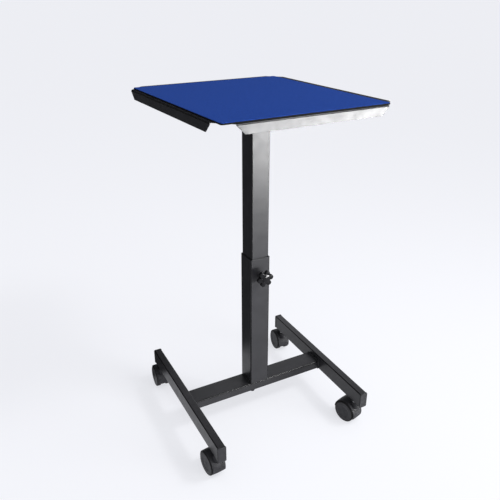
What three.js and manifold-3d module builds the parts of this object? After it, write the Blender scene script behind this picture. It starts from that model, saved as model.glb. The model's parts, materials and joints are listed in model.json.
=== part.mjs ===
// Audio visual cart: a small mobile stand with a height-adjustable tray.
//
// An H-shaped base of two rails and a flat crossbar rolls on four hooded twin-wheel casters.
// A square sleeve stands on the crossbar. A square mast slides in it, carries the folded sheet
// steel tray and is held at its height by a star knob, whose stud presses on the mast.
//
// Millimetres, +Z up, the front is -Y. The origin is on the floor, below the middle of the tray.

import * as THREE from 'three';
import { mergeVertices } from 'three/addons/utils/BufferGeometryUtils.js';
import Module from 'manifold-3d';

const wasm = await Module();
wasm.setup();

// Driving dimensions

const overrun = 2; // how far a cutting solid runs past the faces that it cuts
const seatGap = 0.3; // running gap between a moving piece and what guides it
const holeClearance = 0.3; // radial room of a bolt or stud in its hole
const plugClearance = 0.3; // room of a plastic plug or inner plate in a tube, each side

const rail = { width: 17, height: 35, wall: 1.2, corner: 2, length: 364, spacing: 342 };
const cap = { proud: 0.8, head: 3.5, corner: 3, edge: 1, depth: 12 };
const crossbar = { depth: 45, height: 20, wall: 1.5, corner: 2.5 };
const sleeve = { side: 45, wall: 1.5, corner: 2.5, height: 312 };
const mast = { play: 1, wall: 1.5, corner: 2, length: 420, plugHead: 3, plugDepth: 15 };
const tray = {
	width: 356, depth: 404, sheet: 1.5, top: 718, flange: 17.5, cornerCut: 30, mitre: 15, bend: 3, setback: 7,
};
const mountPlate = { side: 110, thickness: 3, corner: 8, boltInset: 13 };
const mat = {
	width: 328, depth: 378, rubber: 2.5, cloth: 0.8, corner: 4, shiftLeft: 6, shiftFront: 12, clothInset: 0.6,
};
const trayBolt = { radius: 2.5, headRadius: 4, length: 11, nutFlats: 8, nutHeight: 4 };
const footBolt = { radius: 3, flats: 10, head: 4, washerRadius: 6, washer: 1.2, offset: 14, tail: 1 };
const footPlate = { thickness: 4 };
const clamp = { drop: 37, studRadius: 4, nutFlats: 13, nutHeight: 6.5, standoff: 2.2, engage: 12, tip: 1 };
const knob = { radius: 18, lobeRadius: 3, thickness: 8, hubRadius: 9, hub: 7.5, bevel: 1.6, capRadius: 7, cap: 1 };
const caster = {
	height: 60, inset: 26.5, trail: 18, wheelRadius: 25, wheelWidth: 10.3, web: 11.4, gap: 0.5,
	hoodWidth: 30, hoodWall: 1.8, hoodClearance: 0.8, hubRadius: 8,
	bossRadius: 8.5, bossFlare: 11, bossFlareHeight: 6,
};
const stem = { radius: 4, collarRadius: 7, collar: 2.8, nutFlats: 13, nutHeight: 6, above: 3, floor: 6 };
const axle = { radius: 3, coverShare: 0.15 };
const nutFace = { height: 0.5, radiusShare: 0.45 }; // the raised round face that a nut seats on
const wheelProfile = { dish: 0.9, rim: 3, round: 2, hubRadius: 6, recess: 5, webStart: 19, dishRadius: 14 };

const hoodFrontAngle = -18; // where the hood's skirt ends in front, degrees above the axle
const hoodBackAngle = 178; // and behind
const knobRestAngle = 8; // degrees that the star stands turned when parked
const casterTurns = { front_left: 5, front_right: 15, back_left: -3, back_right: -4 }; // swivels as parked

const cornerDivisions = 2; // each gives two facets of a rounded corner
const circleDivisions = 6; // and two facets of a hole or nut face
const hoodDivisions = 9;
const roundSegments = 16;
const wheelSegments = 24;
const lobes = 6;
const lobePoints = 10; // points of the knob's outline in each lobe
const nutSides = 6;

// Sizes that follow

const railBottom = caster.height;
const railTop = railBottom + rail.height;
const crossbarTop = railBottom + crossbar.height;
const crossbarLength = rail.spacing - rail.width;
const sleeveTop = crossbarTop + sleeve.height;
const sleeveBore = sleeve.side - 2 * sleeve.wall;
const mastSide = sleeveBore - 2 * mast.play;
const plateTop = tray.top - tray.sheet;
const mastTop = plateTop - mountPlate.thickness;
const clampHeight = sleeveTop - clamp.drop;
const railEnd = rail.length / 2 + cap.head;
const stemY = railEnd - caster.inset;
const axleHeight = caster.wheelRadius;
const wheelVertexRadius = caster.wheelRadius / Math.cos(Math.PI / wheelSegments); // flats at the true radius
const hoodInner = wheelVertexRadius + caster.hoodClearance;
const hoodOuter = hoodInner + caster.hoodWall;

// The mast is turned in the sleeve until its corners take up the play.
const cornerShare = (sleeveBore / 2 - seatGap - mast.corner) / (mastSide / 2 - mast.corner);
const mastTurn = Math.asin(Math.min(1, cornerShare * cornerShare - 1)) / 2;

// Materials

function material(color, roughness, metalness) {
	return new THREE.MeshStandardMaterial({ color, roughness, metalness });
}

const finishes = {
	powderCoat: [0x2b2b2e, 0.42, 0.3],
	plastic: [0x232326, 0.5, 0],
	glossPlastic: [0x08080a, 0.15, 0],
	wheelPlastic: [0x1f1f22, 0.45, 0],
	zinc: [0x9a9b9d, 0.35, 0.9],
	rubber: [0x101012, 0.85, 0],
	cloth: [0x234ba5, 0.95, 0],
};

// Solids: closed three.js geometries, joined and cut

function toSolid(geometry) {
	let bare = geometry.clone();
	bare.deleteAttribute('normal');
	bare.deleteAttribute('uv');
	bare = mergeVertices(bare);
	const position = bare.getAttribute('position');
	return new wasm.Manifold(new wasm.Mesh({
		numProp: 3,
		vertProperties: new Float32Array(position.array),
		triVerts: new Uint32Array(bare.getIndex().array),
	}));
}

function toGeometry(solid) {
	const mesh = solid.getMesh();
	const geometry = new THREE.BufferGeometry();
	geometry.setAttribute('position', new THREE.BufferAttribute(mesh.vertProperties, 3));
	geometry.setIndex(new THREE.BufferAttribute(mesh.triVerts, 1));
	geometry.computeVertexNormals();
	return geometry;
}

function join(first, ...others) {
	let solid = toSolid(first);
	for (const other of others) solid = solid.add(toSolid(other));
	return toGeometry(solid);
}

function cut(first, ...cutters) {
	let solid = toSolid(first);
	for (const cutter of cutters) solid = solid.subtract(toSolid(cutter));
	return toGeometry(solid);
}

// Shapes

function roundedRectangle(width, height, radius) {
	const x = width / 2;
	const y = height / 2;
	const shape = new THREE.Shape();
	shape.moveTo(x, y - radius);
	shape.absarc(x - radius, y - radius, radius, 0, Math.PI / 2, false);
	shape.absarc(radius - x, y - radius, radius, Math.PI / 2, Math.PI, false);
	shape.absarc(radius - x, radius - y, radius, Math.PI, 1.5 * Math.PI, false);
	shape.absarc(x - radius, radius - y, radius, 1.5 * Math.PI, 2 * Math.PI, false);
	shape.closePath();
	return shape;
}

function hexagon(flats) {
	const radius = flats / 2 / Math.cos(Math.PI / nutSides);
	const shape = new THREE.Shape();
	for (let i = 0; i < nutSides; i++) {
		const angle = (i + 0.5) * 2 * Math.PI / nutSides;
		const x = radius * Math.cos(angle);
		const y = radius * Math.sin(angle);
		if (i === 0) shape.moveTo(x, y);
		else shape.lineTo(x, y);
	}
	shape.closePath();
	return shape;
}

function circle(radius) {
	const shape = new THREE.Shape();
	shape.absarc(0, 0, radius, 0, 2 * Math.PI, false);
	return shape;
}

// An extrusion along +Z from z = 0.
function extrude(shape, depth, curveSegments = cornerDivisions) {
	return new THREE.ExtrudeGeometry(shape, { depth, bevelEnabled: false, curveSegments });
}

// A cylinder along +Z from z = 0.
function rod(radius, length, segments = roundSegments) {
	const geometry = new THREE.CylinderGeometry(radius, radius, length, segments);
	geometry.rotateX(Math.PI / 2);
	return geometry.translate(0, 0, length / 2);
}

// A rounded rectangular tube along +Z from z = 0, open at both ends.
function tube(width, height, wall, corner, length) {
	const shape = roundedRectangle(width, height, corner);
	shape.holes.push(roundedRectangle(width - 2 * wall, height - 2 * wall, corner - wall / 2));
	return extrude(shape, length);
}

function washer(radius, boreRadius, height) {
	const shape = circle(radius);
	shape.holes.push(circle(boreRadius));
	return extrude(shape, height, circleDivisions);
}

// A hexagon nut along +Z, seated at z = 0.
function nut(flats, boreRadius, height) {
	const shape = hexagon(flats);
	shape.holes.push(circle(boreRadius));
	const body = extrude(shape, height - nutFace.height, circleDivisions).translate(0, 0, nutFace.height);
	const face = washer(nutFace.radiusShare * flats, boreRadius, nutFace.height + overrun);
	return join(body, face);
}

function place(group, name, geometry, finish, x = 0, y = 0, z = 0) {
	const mesh = new THREE.Mesh(geometry, material(...finishes[finish]));
	mesh.name = name;
	mesh.position.set(x, y, z);
	group.add(mesh);
	return mesh;
}

// Base

function railBody() {
	const body = tube(rail.width, rail.height, rail.wall, rail.corner, rail.length);
	body.rotateX(-Math.PI / 2).translate(0, -rail.length / 2, rail.height / 2);
	const holes = [-stemY, stemY].map((y) => rod(stem.radius + holeClearance, rail.wall + 2 * overrun)
		.translate(0, y, -overrun));
	return cut(body, ...holes);
}

function capBody() {
	const plugWidth = rail.width - 2 * rail.wall - 2 * plugClearance;
	const plugHeight = rail.height - 2 * rail.wall - 2 * plugClearance;
	const width = rail.width + 2 * cap.proud - 2 * cap.edge;
	const height = rail.height + 2 * cap.proud - 2 * cap.edge;
	const head = new THREE.ExtrudeGeometry(roundedRectangle(width, height, cap.corner - cap.edge), {
		depth: cap.head - 2 * cap.edge, bevelThickness: cap.edge, bevelSize: cap.edge, bevelSegments: 1,
		curveSegments: cornerDivisions,
	});
	head.translate(0, 0, cap.edge);
	const plugShape = roundedRectangle(plugWidth, plugHeight, rail.corner - rail.wall / 2);
	plugShape.holes.push(roundedRectangle(
		plugWidth - 2 * cap.head, plugHeight - 2 * cap.head, rail.corner - rail.wall / 2,
	));
	const plug = extrude(plugShape, cap.depth + cap.edge).translate(0, 0, -cap.depth);
	return join(head, plug);
}

function buildRails(group) {
	for (const side of ['left', 'right']) {
		const x = (side === 'left' ? -rail.spacing : rail.spacing) / 2;
		place(group, `${side}_rail`, railBody(), 'powderCoat', x, 0, railBottom);
		for (const end of ['front', 'back']) {
			const sign = end === 'front' ? -1 : 1;
			const endCap = place(
				group, `${end}_${side}_end_cap`, capBody(), 'plastic',
				x, sign * rail.length / 2, railBottom + rail.height / 2,
			);
			endCap.rotation.x = -sign * Math.PI / 2;
		}
	}
}

function crossbarBody() {
	const body = tube(crossbar.height, crossbar.depth, crossbar.wall, crossbar.corner, crossbarLength);
	body.rotateY(Math.PI / 2).translate(-crossbarLength / 2, 0, crossbar.height / 2);
	const holes = [-1, 1].map((sign) => rod(footBolt.radius + holeClearance, crossbar.height + 2 * overrun)
		.translate(sign * footBolt.offset, sign * footBolt.offset, -overrun));
	return cut(body, ...holes);
}

function sleeveBody() {
	const body = tube(sleeve.side, sleeve.side, sleeve.wall, sleeve.corner, sleeve.height);
	const hole = rod(clamp.studRadius + 2 * holeClearance, sleeve.wall + 2 * overrun);
	hole.rotateX(Math.PI / 2);
	hole.translate(0, sleeve.wall + overrun - sleeve.side / 2, sleeve.height - clamp.drop);
	return cut(body, hole);
}

function footPlateBody() {
	const side = sleeveBore - 2 * plugClearance;
	const shape = roundedRectangle(side, side, sleeve.corner);
	for (const sign of [-1, 1]) {
		const hole = new THREE.Path();
		hole.absarc(sign * footBolt.offset, sign * footBolt.offset, footBolt.radius + holeClearance, 0, 2 * Math.PI, false);
		shape.holes.push(hole);
	}
	return extrude(shape, footPlate.thickness, circleDivisions);
}

function footBoltBody() {
	const shank = footBolt.head + footBolt.washer + crossbar.height + footPlate.thickness + footBolt.tail;
	return join(extrude(hexagon(footBolt.flats), footBolt.head), rod(footBolt.radius, shank));
}

function buildColumn(group) {
	place(group, 'crossbar', crossbarBody(), 'powderCoat', 0, 0, railBottom);
	place(group, 'sleeve', sleeveBody(), 'powderCoat', 0, 0, crossbarTop);
	place(group, 'foot_plate', footPlateBody(), 'zinc', 0, 0, crossbarTop);
	for (const [name, sign] of [['front', -1], ['back', 1]]) {
		const x = sign * footBolt.offset;
		const flatRing = washer(footBolt.washerRadius, footBolt.radius + holeClearance, footBolt.washer);
		place(group, `${name}_foot_washer`, flatRing, 'zinc', x, x, railBottom - footBolt.washer);
		const bolt = footBoltBody();
		place(group, `${name}_foot_bolt`, bolt, 'zinc', x, x, railBottom - footBolt.washer - footBolt.head);
	}
}

// Clamp, along -Y from the front face of the sleeve

const clampAxis = { x: 0, y: -sleeve.side / 2, z: clampHeight };
const studTip = clamp.studRadius * Math.tan(mastTurn) + mastSide / 2 / Math.cos(mastTurn) + seatGap;
const hubStart = clamp.nutHeight + clamp.standoff;

function knobOutline() {
	const waist = knob.radius - 2 * knob.lobeRadius - knob.bevel;
	const tipRadius = knob.radius - knob.bevel;
	const points = lobePoints * lobes;
	const shape = new THREE.Shape();
	for (let i = 0; i < points; i++) {
		const angle = 2 * Math.PI * i / points;
		const swell = Math.sqrt((1 + Math.cos(lobes * angle)) / 2);
		const radius = waist + (tipRadius - waist) * swell;
		const x = radius * Math.cos(angle);
		const y = radius * Math.sin(angle);
		if (i === 0) shape.moveTo(x, y);
		else shape.lineTo(x, y);
	}
	shape.closePath();
	return shape;
}

function knobBody() {
	const star = new THREE.ExtrudeGeometry(knobOutline(), {
		depth: knob.thickness - 2 * knob.bevel, bevelThickness: knob.bevel, bevelSize: knob.bevel, bevelSegments: 2,
		curveSegments: 1,
	});
	star.rotateZ(THREE.MathUtils.degToRad(knobRestAngle)).translate(0, 0, knob.hub + knob.bevel);
	const hub = rod(knob.hubRadius, knob.hub + knob.bevel);
	const face = knob.hub + knob.thickness;
	const recess = rod(knob.capRadius + plugClearance, knob.cap + overrun).translate(0, 0, face - knob.cap);
	const bore = rod(clamp.studRadius + holeClearance, clamp.engage + overrun).translate(0, 0, -overrun);
	return cut(join(star, hub), recess, bore);
}

function buildClamp(group) {
	const clampGroup = new THREE.Group();
	clampGroup.position.set(clampAxis.x, clampAxis.y, clampAxis.z);
	clampGroup.rotation.x = Math.PI / 2; // +Z of the group points to the front
	const clampNut = nut(clamp.nutFlats, clamp.studRadius + holeClearance, clamp.nutHeight);
	place(clampGroup, 'clamp_nut', clampNut, 'powderCoat');
	const tipInside = sleeve.side / 2 - studTip;
	const studLength = tipInside + hubStart + clamp.engage - seatGap;
	const shank = rod(clamp.studRadius, studLength - clamp.tip).translate(0, 0, clamp.tip);
	const nose = new THREE.CylinderGeometry(clamp.studRadius, clamp.studRadius - clamp.tip, clamp.tip, roundSegments);
	nose.rotateX(Math.PI / 2).translate(0, 0, clamp.tip / 2);
	place(clampGroup, 'clamp_stud', join(shank, nose), 'zinc', 0, 0, -tipInside);
	place(clampGroup, 'knob', knobBody(), 'glossPlastic', 0, 0, hubStart);
	const face = hubStart + knob.hub + knob.thickness;
	place(clampGroup, 'knob_cap', rod(knob.capRadius, knob.cap), 'plastic', 0, 0, face - knob.cap);
	group.add(clampGroup);
}

// Mast and tray

function mastPlugBody() {
	const inner = mastSide - 2 * mast.wall - 2 * plugClearance;
	const shape = roundedRectangle(inner, inner, mast.corner);
	const head = extrude(roundedRectangle(mastSide, mastSide, mast.corner), mast.plugHead);
	shape.holes.push(roundedRectangle(inner - 2 * mast.plugHead, inner - 2 * mast.plugHead, mast.corner));
	const plug = extrude(shape, mast.plugDepth + mast.plugHead / 2).translate(0, 0, mast.plugHead / 2);
	return join(head, plug);
}

function boltPlaces() {
	const reach = mountPlate.side / 2 - mountPlate.boltInset;
	return [[-1, -1], [1, -1], [-1, 1], [1, 1]].map(([a, b]) => [a * reach, b * reach]);
}

function mountPlateBody() {
	const shape = roundedRectangle(mountPlate.side, mountPlate.side, mountPlate.corner);
	for (const [x, y] of boltPlaces()) {
		const hole = new THREE.Path();
		hole.absarc(x, y, trayBolt.radius + holeClearance, 0, 2 * Math.PI, false);
		shape.holes.push(hole);
	}
	return extrude(shape, mountPlate.thickness, circleDivisions);
}

function trayOutline(inset) {
	const x = tray.width / 2;
	const y = tray.depth / 2;
	const c = tray.cornerCut;
	const shape = new THREE.Shape();
	shape.moveTo(x - inset, c - y);
	shape.lineTo(x - inset, y - c);
	shape.lineTo(x - c, y - inset);
	shape.lineTo(c - x, y - inset);
	shape.lineTo(inset - x, y - c);
	shape.lineTo(inset - x, c - y);
	shape.lineTo(c - x, inset - y);
	shape.lineTo(x - c, inset - y);
	shape.closePath();
	return shape;
}

// One folded edge along X: a lip on the sheet, the bend and the flange, with its outer face at y = 0
// towards -Y and its top at z = 0. The flange's ends are cut at a slope.
function foldedEdge(length) {
	const inside = tray.bend - tray.sheet;
	const lip = tray.bend + overrun;
	const profile = new THREE.Shape();
	profile.moveTo(-lip, 0);
	profile.lineTo(-tray.bend, 0);
	profile.absarc(-tray.bend, -tray.bend, tray.bend, Math.PI / 2, 0, true);
	profile.lineTo(0, -tray.flange);
	profile.lineTo(-tray.sheet, -tray.flange);
	profile.lineTo(-tray.sheet, -tray.bend);
	profile.absarc(-tray.bend, -tray.bend, inside, 0, Math.PI / 2, false);
	profile.lineTo(-lip, -tray.sheet);
	profile.closePath();
	const edge = extrude(profile, length);
	edge.rotateX(Math.PI / 2).rotateZ(-Math.PI / 2).translate(length / 2, 0, 0);
	const drop = tray.flange - tray.bend;
	const slope = tray.mitre / drop;
	const corners = new THREE.Shape();
	corners.moveTo(0, 0);
	corners.lineTo((drop + overrun) * slope, -drop - overrun);
	corners.lineTo(-overrun, -drop - overrun);
	corners.lineTo(-overrun, 0);
	corners.closePath();
	const wedge = extrude(corners, tray.sheet + 2 * overrun);
	wedge.rotateX(Math.PI / 2).translate(-length / 2, tray.sheet + overrun, -tray.bend);
	const other = wedge.clone().rotateZ(Math.PI).translate(0, tray.sheet, 0);
	return cut(edge, wedge, other);
}

function trayBody() {
	const sheet = extrude(trayOutline(tray.bend), tray.sheet).translate(0, 0, -tray.sheet);
	const edges = [];
	for (let i = 0; i < 4; i++) {
		const across = i % 2 === 1;
		const side = across ? tray.depth : tray.width;
		const reach = (across ? tray.width : tray.depth) / 2;
		const edge = foldedEdge(side - 2 * tray.cornerCut);
		edges.push(edge.translate(0, -reach, 0).rotateZ(i * Math.PI / 2));
	}
	const holes = boltPlaces().map(([x, y]) => rod(trayBolt.headRadius + holeClearance, tray.sheet + 2 * overrun)
		.translate(x, y - tray.setback, -tray.sheet - overrun));
	return cut(join(sheet, ...edges), ...holes);
}

function trayBoltBody() {
	const head = rod(trayBolt.headRadius, tray.sheet).translate(0, 0, -tray.sheet);
	const shank = rod(trayBolt.radius, trayBolt.length).translate(0, 0, -trayBolt.length);
	return join(head, shank);
}

function matLayer(inset, thickness) {
	return extrude(roundedRectangle(mat.width - 2 * inset, mat.depth - 2 * inset, mat.corner - inset), thickness);
}

function buildMast(group) {
	const mastGroup = new THREE.Group();
	mastGroup.rotation.z = mastTurn;
	const bottom = mastTop - mast.length;
	const body = tube(mastSide, mastSide, mast.wall, mast.corner, mast.length);
	place(mastGroup, 'mast_tube', body, 'powderCoat', 0, 0, bottom);
	place(mastGroup, 'mast_plug', mastPlugBody(), 'plastic', 0, 0, bottom - mast.plugHead);
	place(mastGroup, 'mount_plate', mountPlateBody(), 'powderCoat', 0, 0, mastTop);
	boltPlaces().forEach(([x, y], i) => {
		place(mastGroup, `tray_bolt_${i + 1}`, trayBoltBody(), 'zinc', x, y, tray.top);
		const trayNut = nut(trayBolt.nutFlats, trayBolt.radius + holeClearance, trayBolt.nutHeight);
		trayNut.rotateX(Math.PI); // seated upwards, on the plate
		place(mastGroup, `tray_nut_${i + 1}`, trayNut, 'zinc', x, y, mastTop);
	});
	place(mastGroup, 'tray', trayBody(), 'powderCoat', 0, tray.setback, tray.top);
	const matX = -mat.shiftLeft;
	const matY = tray.setback - mat.shiftFront;
	place(mastGroup, 'mat_rubber', matLayer(0, mat.rubber), 'rubber', matX, matY, tray.top);
	const cloth = matLayer(mat.clothInset, mat.cloth);
	place(mastGroup, 'mat_cloth', cloth, 'cloth', matX, matY, tray.top + mat.rubber);
	group.add(mastGroup);
}

// Casters: each in its own group at the swivel axis, with the wheels trailing towards +Y

function sector(radius, from, to) {
	const shape = new THREE.Shape();
	shape.moveTo(0, 0);
	shape.absarc(0, 0, radius, from, to, false);
	shape.closePath();
	return shape;
}

// A side profile, drawn with its x towards the front and its y up, centred on the axle and extruded
// over a width across the caster.
function acrossCaster(shape, width) {
	const geometry = extrude(shape, width, hoodDivisions);
	geometry.translate(0, 0, -width / 2).rotateY(-Math.PI / 2).rotateX(Math.PI / 2);
	return geometry;
}

function axleRod(radius, length, segments = roundSegments) {
	return rod(radius, length, segments).translate(0, 0, -length / 2).rotateY(Math.PI / 2);
}

function hoodBody() {
	const front = THREE.MathUtils.degToRad(hoodFrontAngle);
	const back = THREE.MathUtils.degToRad(hoodBackAngle);
	const shell = new THREE.Shape();
	shell.absarc(0, 0, hoodOuter, front, back, false);
	shell.absarc(0, 0, hoodInner, back, front, true);
	shell.closePath();
	const fender = acrossCaster(shell, caster.hoodWidth);
	const web = acrossCaster(sector((hoodInner + hoodOuter) / 2, front, back), caster.web);
	const hub = axleRod(caster.hubRadius, caster.web);

	const bossTop = caster.height - stem.collar - seatGap - axleHeight;
	const bossBottom = hoodInner * Math.sin(Math.acos(Math.min(1, caster.trail / hoodInner)));
	const flareTop = bossBottom + caster.bossFlareHeight;
	const flare = new THREE.CylinderGeometry(
		caster.bossRadius, caster.bossFlare, flareTop - bossBottom + overrun, roundSegments,
	);
	flare.rotateX(Math.PI / 2).translate(0, 0, (flareTop + bossBottom - overrun) / 2);
	const boss = join(flare, rod(caster.bossRadius, bossTop - bossBottom).translate(0, 0, bossBottom));
	boss.translate(0, -caster.trail, 0);
	const wheelRoom = [-1, 1].map((sign) => axleRod(hoodInner, caster.wheelWidth + caster.gap + overrun, wheelSegments)
		.translate(sign * (caster.web + caster.wheelWidth + caster.gap + overrun) / 2, 0, 0));
	const body = join(fender, web, hub, cut(boss, ...wheelRoom));

	const socketFloor = stem.floor;
	const socket = rod(stem.radius + seatGap, bossTop - socketFloor + overrun).translate(0, -caster.trail, socketFloor);
	return cut(body, socket, axleRod(axle.radius + holeClearance / 2, caster.web + 2 * overrun));
}

// Closed wheel: a dished outer face, a rounded tread and a recessed inner side with a blind bore.
// The profile runs in (radius, distance out from the inner face).
function wheelBody() {
	const w = wheelProfile;
	const r = wheelVertexRadius;
	const width = caster.wheelWidth;
	const boreEnd = width * (1 - axle.coverShare);
	const boreRadius = axle.radius + seatGap;
	const profile = [
		[0, boreEnd], [boreRadius, boreEnd], [boreRadius, 0], [w.hubRadius, 0], [w.hubRadius, w.recess],
		[w.webStart, w.recess], [r - w.rim, 0], [r, w.round], [r, width - w.round],
		[r - w.round, width], [w.dishRadius + w.dish, width], [w.dishRadius, width - w.dish], [0, width - w.dish],
	].map(([x, y]) => new THREE.Vector2(x, y));
	const wheel = new THREE.LatheGeometry(profile, wheelSegments, Math.PI / wheelSegments);
	return wheel.rotateZ(-Math.PI / 2);
}

function stemBody() {
	const top = railBottom + rail.wall + stem.nutHeight + stem.above;
	const bottom = axleHeight + stem.floor + seatGap;
	const shank = rod(stem.radius, top - bottom).translate(0, 0, bottom);
	return join(shank, rod(stem.collarRadius, stem.collar).translate(0, 0, railBottom - stem.collar));
}

function buildCaster(group, corner) {
	const [end, side] = corner.split('_');
	const x = (side === 'left' ? -rail.spacing : rail.spacing) / 2;
	const y = end === 'front' ? -stemY : stemY;
	place(group, `${corner}_stem`, stemBody(), 'zinc', x, y, 0);
	const stemNut = nut(stem.nutFlats, stem.radius + holeClearance, stem.nutHeight);
	place(group, `${corner}_stem_nut`, stemNut, 'zinc', x, y, railBottom + rail.wall);

	const casterGroup = new THREE.Group();
	casterGroup.position.set(x, y, 0);
	casterGroup.rotation.z = THREE.MathUtils.degToRad(casterTurns[corner]);
	place(casterGroup, `${corner}_hood`, hoodBody(), 'plastic', 0, caster.trail, axleHeight);
	const axleLength = caster.web + 2 * caster.gap + 2 * caster.wheelWidth * (1 - 2 * axle.coverShare);
	place(casterGroup, `${corner}_axle`, axleRod(axle.radius, axleLength), 'zinc', 0, caster.trail, axleHeight);
	for (const sign of [-1, 1]) {
		const name = `${corner}_wheel_${sign < 0 ? 'a' : 'b'}`;
		const inner = sign * (caster.web / 2 + caster.gap);
		const wheel = place(casterGroup, name, wheelBody(), 'wheelPlastic', inner, caster.trail, axleHeight);
		if (sign < 0) wheel.rotation.z = Math.PI;
	}
	group.add(casterGroup);
}

// Cart

function buildCart() {
	const cart = new THREE.Group();
	const base = new THREE.Group();
	base.position.y = -tray.setback;
	buildRails(base);
	buildColumn(base);
	buildClamp(base);
	buildMast(base);
	for (const corner of Object.keys(casterTurns)) buildCaster(base, corner);
	cart.add(base);
	return cart;
}

export default buildCart();
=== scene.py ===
import json
import math

import bmesh
import bpy
from mathutils import Matrix, Vector, noise


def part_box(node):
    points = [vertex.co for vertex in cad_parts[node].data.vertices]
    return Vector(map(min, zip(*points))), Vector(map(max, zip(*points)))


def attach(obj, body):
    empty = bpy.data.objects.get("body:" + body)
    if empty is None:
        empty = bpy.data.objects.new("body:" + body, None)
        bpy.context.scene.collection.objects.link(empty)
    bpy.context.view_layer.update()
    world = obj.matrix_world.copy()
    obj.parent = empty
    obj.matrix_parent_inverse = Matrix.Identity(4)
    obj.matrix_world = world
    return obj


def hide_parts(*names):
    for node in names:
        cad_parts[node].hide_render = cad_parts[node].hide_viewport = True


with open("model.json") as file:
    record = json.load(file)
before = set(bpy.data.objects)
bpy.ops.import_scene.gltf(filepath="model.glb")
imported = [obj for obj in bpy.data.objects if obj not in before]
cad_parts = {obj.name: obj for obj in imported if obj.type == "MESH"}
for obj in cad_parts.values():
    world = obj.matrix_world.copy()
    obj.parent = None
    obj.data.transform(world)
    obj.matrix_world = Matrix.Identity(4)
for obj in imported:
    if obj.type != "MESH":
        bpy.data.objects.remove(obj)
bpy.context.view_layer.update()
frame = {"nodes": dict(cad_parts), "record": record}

# The looks of a small audio visual cart: painted steel tubes, a folded tray with a blue mat, a star
# knob and hooded twin-wheel casters. Metres, +Z up, the front is -Y.
# Each piece is drawn in its own group's frame and stands for one solid of the cart. The weld beads
# are added to them.

MM = 0.001
UNEVEN_SEED = 11  # picks the cloth's unevenness

# Driving sizes

SETBACK = 7 * MM  # the column stands this far in front of the tray's middle
RAIL_W, RAIL_H, RAIL_WALL, RAIL_CORNER = 17 * MM, 35 * MM, 1.2 * MM, 2 * MM
RAIL_LENGTH, RAIL_SPACING = 364 * MM, 342 * MM
CAP_PROUD, CAP_HEAD, CAP_CORNER, CAP_EDGE, CAP_DEPTH = 0.8 * MM, 3.5 * MM, 3 * MM, 1.1 * MM, 12 * MM
BAR_D, BAR_H, BAR_WALL, BAR_CORNER = 45 * MM, 20 * MM, 1.5 * MM, 2.5 * MM
SLEEVE, SLEEVE_WALL, SLEEVE_CORNER, SLEEVE_H = 45 * MM, 1.5 * MM, 2.5 * MM, 312 * MM
MAST, MAST_WALL, MAST_CORNER, MAST_H = 40 * MM, 1.5 * MM, 2 * MM, 420 * MM
TRAY_W, TRAY_D, TRAY_TOP, SHEET = 356 * MM, 404 * MM, 718 * MM, 1.5 * MM
FLANGE, BEND, CORNER_CUT, MITRE = 17.5 * MM, 3 * MM, 30 * MM, 15 * MM
PLATE, PLATE_T, PLATE_CORNER, BOLT_INSET = 110 * MM, 3 * MM, 8 * MM, 13 * MM
MAT_W, MAT_D, RUBBER_T, CLOTH_T, MAT_CORNER = 326 * MM, 374 * MM, 2.5 * MM, 0.8 * MM, 4 * MM
MAT_LEFT, MAT_FRONT, CLOTH_INSET = 10 * MM, 13.5 * MM, 0.4 * MM
LOAD_HEIGHT, WHEEL_R, WHEEL_W, TRAIL, STEM_INSET = 60 * MM, 25 * MM, 10.3 * MM, 18 * MM, 26.5 * MM
WEB, WHEEL_GAP, HUB_R, TREAD = 11.4 * MM, 0.5 * MM, 8 * MM, 2.6 * MM
HOOD_W, HOOD_WALL, HOOD_CLEARANCE = 30 * MM, 1.8 * MM, 1 * MM
HOOD_FRONT, HOOD_BACK = math.radians(-18), math.radians(178)
BOSS_R, BOSS_FLARE, BOSS_FLARE_H = 8.5 * MM, 11 * MM, 6 * MM
STEM_R, COLLAR_R, COLLAR, RUNNING_GAP = 4 * MM, 7 * MM, 2.8 * MM, 0.3 * MM
CASTER_TURNS = {"front_left": 5, "front_right": 15, "back_left": -3, "back_right": -4}
KNOB_R, LOBE_R, KNOB_WAIST, KNOB_T, KNOB_EDGE = 18.3 * MM, 5.6 * MM, 11.4 * MM, 8 * MM, 2.1 * MM
KNOB_CROWN, KNOB_DOME_R, LOBES, KNOB_TURN = 1.9 * MM, 10.4 * MM, 6, math.radians(8)
KNOB_HUB_R, KNOB_HUB, KNOB_CAP_R, KNOB_CAP = 9 * MM, 7.5 * MM, 7 * MM, 1 * MM
CLAMP_DROP, CLAMP_FLATS, CLAMP_NUT_H, CLAMP_STANDOFF = 37 * MM, 13 * MM, 6.5 * MM, 2.2 * MM
STUD_R, STUD_PITCH, STUD_ENGAGE = 4 * MM, 1.25 * MM, 12 * MM
FOOT_FLATS, FOOT_HEAD, FOOT_R, FOOT_OFFSET = 10 * MM, 4 * MM, 3 * MM, 14 * MM
FOOT_WASHER_R, FOOT_WASHER, FOOT_PITCH, FOOT_PLATE = 6 * MM, 1.2 * MM, 1 * MM, 4 * MM
TRAY_BOLT_R, TRAY_BOLT_HEAD_R, TRAY_BOLT_LENGTH, TRAY_BOLT_PITCH = 2.5 * MM, 4 * MM, 11 * MM, 0.8 * MM
TRAY_NUT_FLATS, TRAY_NUT_H = 8 * MM, 4 * MM
HOLE_CLEARANCE = 0.3 * MM
HAIRLINE = 0.25 * MM  # the broken edge of a sawn tube

# Sizes that follow

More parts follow.
